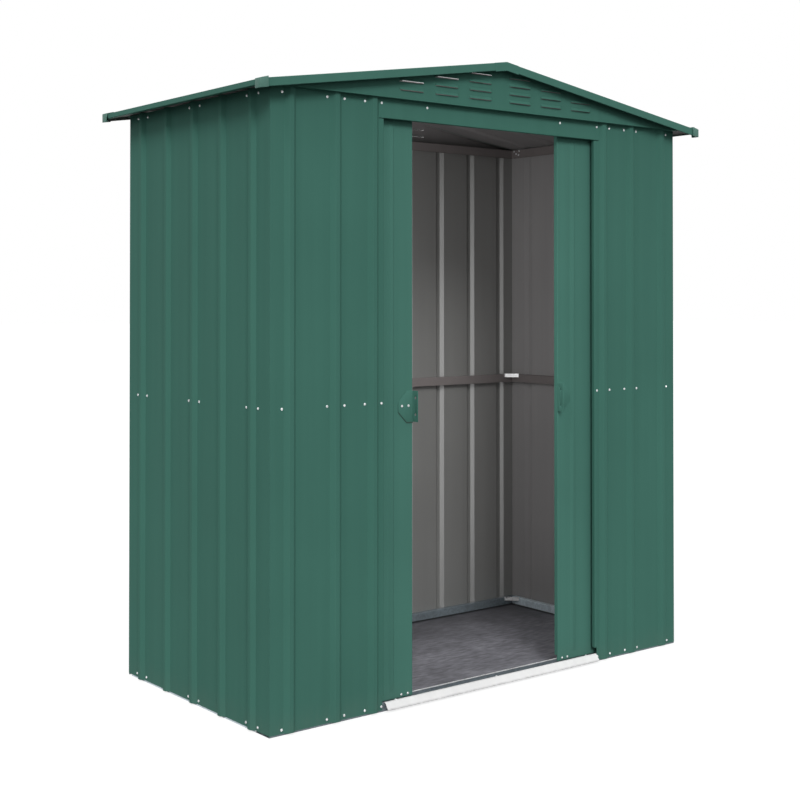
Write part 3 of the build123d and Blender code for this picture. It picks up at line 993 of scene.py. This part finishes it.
# Copies on points
def copies_tree():
    """Node tree that sets copies of a shape on points, turned to face a way and spun at random."""
    tree = bpy.data.node_groups.new("copies_on_points", "GeometryNodeTree")
    for name, kind in (
        ("Points", "Geometry"),
        ("Shape", "Object"),
        ("Most Spin", "Float"),
        ("Finish", "Material"),
        ("Inner Finish", "Material"),
    ):
        tree.interface.new_socket(name, in_out="INPUT", socket_type="NodeSocket" + kind)
    tree.interface.new_socket("Copies", in_out="OUTPUT", socket_type="NodeSocketGeometry")
    given = tree.nodes.new("NodeGroupInput").outputs
    facing = add_node(
        tree, "GeometryNodeInputNamedAttribute", {"data_type": "FLOAT_VECTOR"}, Name="facing",
    )
    turned = add_node(
        tree, "FunctionNodeAlignRotationToVector", {"axis": "Z"}, Vector=facing.outputs["Attribute"],
    )
    levelled = add_node(
        tree, "FunctionNodeAlignRotationToVector", {"axis": "Y", "pivot_axis": "Z"},
        Rotation=turned.outputs[0], Vector=(0.0, 0.0, 1.0),
    )
    shape = add_node(tree, "GeometryNodeObjectInfo", Object=given["Shape"])
    copies = add_node(
        tree, "GeometryNodeInstanceOnPoints", Points=given["Points"], Instance=shape.outputs["Geometry"],
        Rotation=levelled.outputs[0],
    )
    spin = add_node(tree, "FunctionNodeRandomValue", {"data_type": "FLOAT"}, Seed=spin_seed)
    tree.links.new(given["Most Spin"], spin.inputs[3])
    about = add_node(tree, "ShaderNodeCombineXYZ", Z=spin.outputs[1])
    spun = add_node(
        tree, "GeometryNodeRotateInstances", Instances=copies.outputs[0], Rotation=about.outputs[0],
    )
    real = add_node(tree, "GeometryNodeRealizeInstances", Geometry=spun.outputs[0])
    coated = add_node(tree, "GeometryNodeSetMaterial", Geometry=real.outputs[0], Material=given["Finish"])
    inside = add_node(tree, "GeometryNodeInputNamedAttribute", {"data_type": "BOOLEAN"}, Name="inside")
    lined = add_node(
        tree, "GeometryNodeSetMaterial", Geometry=coated.outputs[0],
        Selection=inside.outputs["Attribute"], Material=given["Inner Finish"],
    )
    result = tree.nodes.new("NodeGroupOutput")
    tree.links.new(lined.outputs[0], result.inputs["Copies"])
    return tree


def set_copies(name, tree, places, shape, most_spin, finishes, body):
    """Piece of copies on some places, each a point and the way it faces."""
    points = bpy.data.meshes.new(name + "_points")
    points.from_pydata([point for point, facing in places], [], [])
    ways = points.attributes.new("facing", "FLOAT_VECTOR", "POINT")
    ways.data.foreach_set("vector", [value for point, facing in places for value in facing])
    holder = new_object(name + "_points", points)
    copier = holder.modifiers.new("copies", "NODES")
    copier.node_group = tree
    outer, inner = finishes
    wanted = {"Shape": shape, "Most Spin": most_spin, "Finish": outer, "Inner Finish": inner}
    for item in tree.interface.items_tree:
        if item.name in wanted:
            copier[item.identifier] = wanted[item.name]
    bpy.context.view_layer.update()
    seen = bpy.context.evaluated_depsgraph_get()
    mesh = bpy.data.meshes.new_from_object(holder.evaluated_get(seen))
    mesh.name = name
    bpy.data.objects.remove(holder)
    piece = new_object(name, mesh)
    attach(piece, body)


def louvre_shape():
    """Pressed hood over a slot: X along it, Y up from its open lip, Z out of the sheet."""
    shape = bmesh.new()
    inside = shape.faces.layers.bool.new("inside")
    skins = []
    for back in (0, sheet):
        skin = []
        for share in louvre_shares:
            swell = math.sqrt(1 - abs(share) ** louvre_power)
            column = []
            for row in range(louvre_rows + 1):
                down = row / louvre_rows
                out = vent_reach * swell * math.sin(down * math.pi / 2) - back
                column.append(shape.verts.new((share * vent_length / 2, vent_height * (1 - down), out)))
            skin.append(column)
        skins.append(skin)
    last = len(louvre_shares) - 1
    for layer, skin in enumerate(skins):
        for here, there in zip(skin, skin[1:]):
            for row in range(louvre_rows):
                corners = (here[row], there[row], there[row + 1], here[row + 1])
                shape.faces.new(corners)[inside] = layer == 1
    outer, inner = skins
    for index in range(last):
        near = (outer[index], inner[index])
        far = (outer[index + 1], inner[index + 1])
        for row in (0, louvre_rows):
            shape.faces.new((near[0][row], far[0][row], far[1][row], near[1][row]))
    for index in (0, last):
        over = outer[index]
        under = inner[index]
        for row in range(louvre_rows):
            shape.faces.new((over[row], over[row + 1], under[row + 1], under[row]))
    return new_object("louvre", shaped_mesh("louvre", shape, ()))


def screw_shape():
    """Pan head on a flange, with a cross recess: Z out of the sheet."""
    shape = bmesh.new()

    def ring(radius, height):
        corners = []
        for side in range(screw_sides):
            angle = math.tau / screw_sides * (side + 0.5)
            place = (radius * math.cos(angle), radius * math.sin(angle), height)
            corners.append(shape.verts.new(place))
        return corners

    def cross(height):
        arm = ((recess_reach, recess_width), (recess_width, recess_width), (recess_width, recess_reach))
        corners = []
        for quarter in range(4):
            turn = Matrix.Rotation(math.pi / 2 * quarter, 2)
            for corner in arm:
                corners.append(shape.verts.new((*(turn @ Vector(corner)), height)))
        return corners

    rings = [
        ring(screw_flange_radius, 0),
        ring(screw_flange_radius, screw_flange_height),
        ring(screw_head_radius, screw_flange_height),
        ring(screw_head_radius, (screw_flange_height + screw_head_height) / 2),
        ring(screw_crown_radius, screw_head_height),
        cross(screw_head_height),
        cross(screw_head_height - recess_depth),
    ]
    for here, there in zip(rings, rings[1:]):
        for side in range(screw_sides):
            following = (side + 1) % screw_sides
            shape.faces.new((here[side], here[following], there[following], there[side]))
    shape.faces.new(rings[0])
    shape.faces.new(rings[-1])
    return new_object("screw", shaped_mesh("screw", shape, ()))


def wall_screws():
    """Places of the rows of screws in the walls, beside some of their ribs."""
    places = []
    beside = (-screw_from_rib, screw_from_rib)
    for height in screw_row_heights:
        for side in (-1, 1):
            for rib in side_ribs[::2]:
                for shift in beside:
                    places.append(((side * half_width, rib + shift, height), (side, 0, 0)))
            spots = [rib + shift for rib in (mid_rib, jamb_rib) for shift in beside]
            for spot in spots + [half_width - corner_screw_inset]:
                front = -half_depth
                if height > header_low.z and spot < header_high.x:
                    front = header_low.y
                places.append(((side * spot, front, height), (0, -1, 0)))
        for rib in back_ribs[::2]:
            for shift in beside:
                places.append(((rib + shift, half_depth, height), (0, 1, 0)))
    return places


def doorway_screws():
    """Places of the screws in the header, on the top rails and in the ramp."""
    places = []
    for side in (-1, 1):
        places.append(((side * header_screw_inset, header_low.y, screw_row_heights[-1]), (0, -1, 0)))
        for depth, height in top_rail_screws:
            spot = (side * (inner_x - rail_depth), inner_y - rail_depth - depth, height)
            places.append((spot, (-side, 0, 0)))
    for spot in (-ramp_screw_inset, 0, ramp_screw_inset):
        places.append(((spot, -half_depth, ramp_high.z - ramp_dip), (0, 0, 1)))
    return places


def roof_screws():
    """Places of the screws through the roof's ribs, at the ridge cap and near the eaves."""
    places = []
    crest = cap_high.z - slope * ridge_screw_inset
    run = roof_run - eave_screw_inset
    low = ridge_top + wall_rib_depth - slope * run
    for rib in roof_ribs:
        for side in (-1, 1):
            facing = (side * slope, 0, 1)
            places.append(((side * ridge_screw_inset, rib, crest), facing))
            places.append(((side * run, rib, low), facing))
    return places


def door_screws(inward, name):
    """Places of the screws at the foot of a door, and in the left door's handle."""
    low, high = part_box(name)
    lead = high.x if inward > 0 else low.x
    facing = (0, -1, 0)
    places = []
    for inset in door_screw_insets:
        places.append(((lead - inward * inset, door_face, low.z + door_screw_height), facing))
    if inward > 0:
        handle_low, handle_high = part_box(name + "_handle")
        height = (handle_low.z + handle_high.z) / 2 + handle_screw_rise
        for inset in handle_screw_insets:
            places.append(((lead - inward * inset, door_face - handle_sheet, height), facing))
    return places


# All pieces
for side, hand in ((-1, "left"), (1, "right")):
    front_wall(-side, "front_wall_" + hand)
    side_wall(side, hand + "_wall")
    roof(side, hand + "_roof")
    eave_trim(side, hand + "_eave_trim")
    side_rail(hand + "_base_rail", side, lit_zinc, "galvanised")
    side_rail(hand + "_mid_rail", side, rail_primer, "rail")
    side_rail(hand + "_top_rail", side, rail_primer, "rail")
    for end, way in ((-1, "front"), (1, "back")):
        fascia(side, end, way + "_" + hand + "_fascia")
    eased_copy(hand + "_door_handle", fine_easing, door_paint, hand + "_door", "green_sheet")
    eased_copy(hand + "_door_runners", fine_easing, nylon, hand + "_door", "nylon")
door(1, "left_door", left_door_rib_inset)
door(-1, "right_door", right_door_rib_inset)
handle_painted_shadow()
back_wall()
gable(-1, "front_gable")
gable(1, "back_gable")
painted_glint_lips()
header()
header_painted_shadow()
track()
ramp()
cross_rail("back_base_rail", galvanised, "galvanised")
cross_rail("back_mid_rail", rail_primer, "rail")
cross_rail("back_top_rail", rail_primer, "rail")
front_mid_rails()
sill_rail()
ridge_beam()
ridge_cap()
apex_covers()
for node in ("base_corner_brackets", "mid_corner_brackets"):
    corner_brackets(node)
eased_copy("roof_corner_caps", easing, cap_plastic, "shed", "cap")

floor_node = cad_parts["floor_panel"]
floor_node.data.materials.clear()
floor_node.data.materials.append(floor_boards)

copies = copies_tree()
screw = screw_shape()
louvre = louvre_shape()
shed_screws = wall_screws() + doorway_screws() + roof_screws()
set_copies("shed_screws", copies, shed_screws, screw, math.tau, zinc_plated, "shed")
for inward, name in ((1, "left_door"), (-1, "right_door")):
    places = door_screws(inward, name)
    set_copies(name + "_screws", copies, places, screw, math.tau, zinc_plated, name)
hoods = [
    ((middle, end * (half_depth + gable_step), bottom + vent_sill), (0, end, 0))
    for end in (-1, 1)
    for middle, bottom in vent_places()
]
set_copies("gable_louvres", copies, hoods, louvre, 0.0, roof_painted, "shed")
for template in (screw, louvre):
    bpy.data.objects.remove(template)


# Studio
def seen_rays(tree, path):
    """One for rays that show a thing to the camera, straight or by a mirror or glass."""
    glossy = add_node(
        tree, "ShaderNodeMath", {"operation": "MAXIMUM"},
        i0=path["Is Camera Ray"], i1=path["Is Glossy Ray"],
    )
    return add_node(
        tree, "ShaderNodeMath", {"operation": "MAXIMUM"},
        i0=glossy.outputs[0], i1=path["Is Transmission Ray"],
    ).outputs[0]


def studio_floor():
    """Pale floor that shows white, with the shadow of the shed."""
    shape = bmesh.new()
    bmesh.ops.create_grid(shape, x_segments=1, y_segments=1, size=floor_reach)
    mesh = bpy.data.meshes.new("floor")
    shape.to_mesh(mesh)
    shape.free()
    material = bpy.data.materials.new("studio_floor")
    material.use_nodes = True
    tree = material.node_tree
    tree.nodes.clear()
    path = add_node(tree, "ShaderNodeLightPath").outputs
    grey = add_node(tree, "ShaderNodeBsdfDiffuse", Color=[floor_bounce_share] * 3 + [1.0])
    pale = add_node(tree, "ShaderNodeBsdfDiffuse", Color=[floor_shade_share] * 3 + [1.0])
    glow = add_node(tree, "ShaderNodeEmission", Color=studio_white, Strength=floor_glow)
    shown = add_node(tree, "ShaderNodeAddShader", i0=glow.outputs[0], i1=pale.outputs[0])
    surface = add_node(
        tree, "ShaderNodeMixShader", i0=seen_rays(tree, path), i1=grey.outputs[0], i2=shown.outputs[0],
    )
    add_node(tree, "ShaderNodeOutputMaterial", Surface=surface.outputs[0])
    mesh.materials.append(material)
    new_object("floor", mesh)


def studio_light():
    """Soft light all round, soft suns at the front and the left, and a weak lamp in the room."""
    world = bpy.data.worlds.new("studio")
    world.use_nodes = True
    tree = world.node_tree
    tree.nodes.clear()
    path = add_node(tree, "ShaderNodeLightPath").outputs
    sky = add_node(tree, "ShaderNodeBackground", Color=studio_white, Strength=sky_strength)
    shown = add_node(tree, "ShaderNodeBackground", Color=studio_white, Strength=1.0)
    both = add_node(
        tree, "ShaderNodeMixShader", i0=seen_rays(tree, path), i1=sky.outputs[0], i2=shown.outputs[0],
    )
    add_node(tree, "ShaderNodeOutputWorld", Surface=both.outputs[0])
    bpy.context.scene.world = world
    for name, way, strength in (("key", key_way, key_strength), ("side", side_way, side_strength)):
        sun = bpy.data.lights.new(name, "SUN")
        sun.angle = sun_angle
        sun.energy = strength
        holder = new_object(name, sun)
        holder.rotation_euler = way.to_track_quat("-Z", "Y").to_euler()
    lamp = bpy.data.lights.new("fill", "AREA")
    lamp.shape = "RECTANGLE"
    lamp.size = fill_width
    lamp.size_y = fill_height
    lamp.energy = fill_power
    fill = new_object("fill", lamp)
    fill.location = fill_place
    fill.rotation_euler = fill_way.to_track_quat("-Z", "Y").to_euler()
    fill.visible_camera = False
    fill.visible_glossy = False


def photo_camera():
    """Camera at the place that the photograph was taken from."""
    camera = bpy.data.cameras.new("camera")
    camera.lens = camera_lens
    camera.sensor_width = camera_sensor
    camera.shift_y = camera_shift_share
    holder = new_object("camera", camera)
    level = math.cos(camera_pitch)
    ahead = Vector((math.sin(camera_yaw) * level, math.cos(camera_yaw) * level, math.sin(camera_pitch)))
    holder.location = camera_place
    holder.rotation_euler = ahead.to_track_quat("-Z", "Y").to_euler()
    bpy.context.scene.camera = holder
    bpy.context.scene.view_settings.view_transform = "Standard"


studio_floor()
studio_light()
photo_camera()
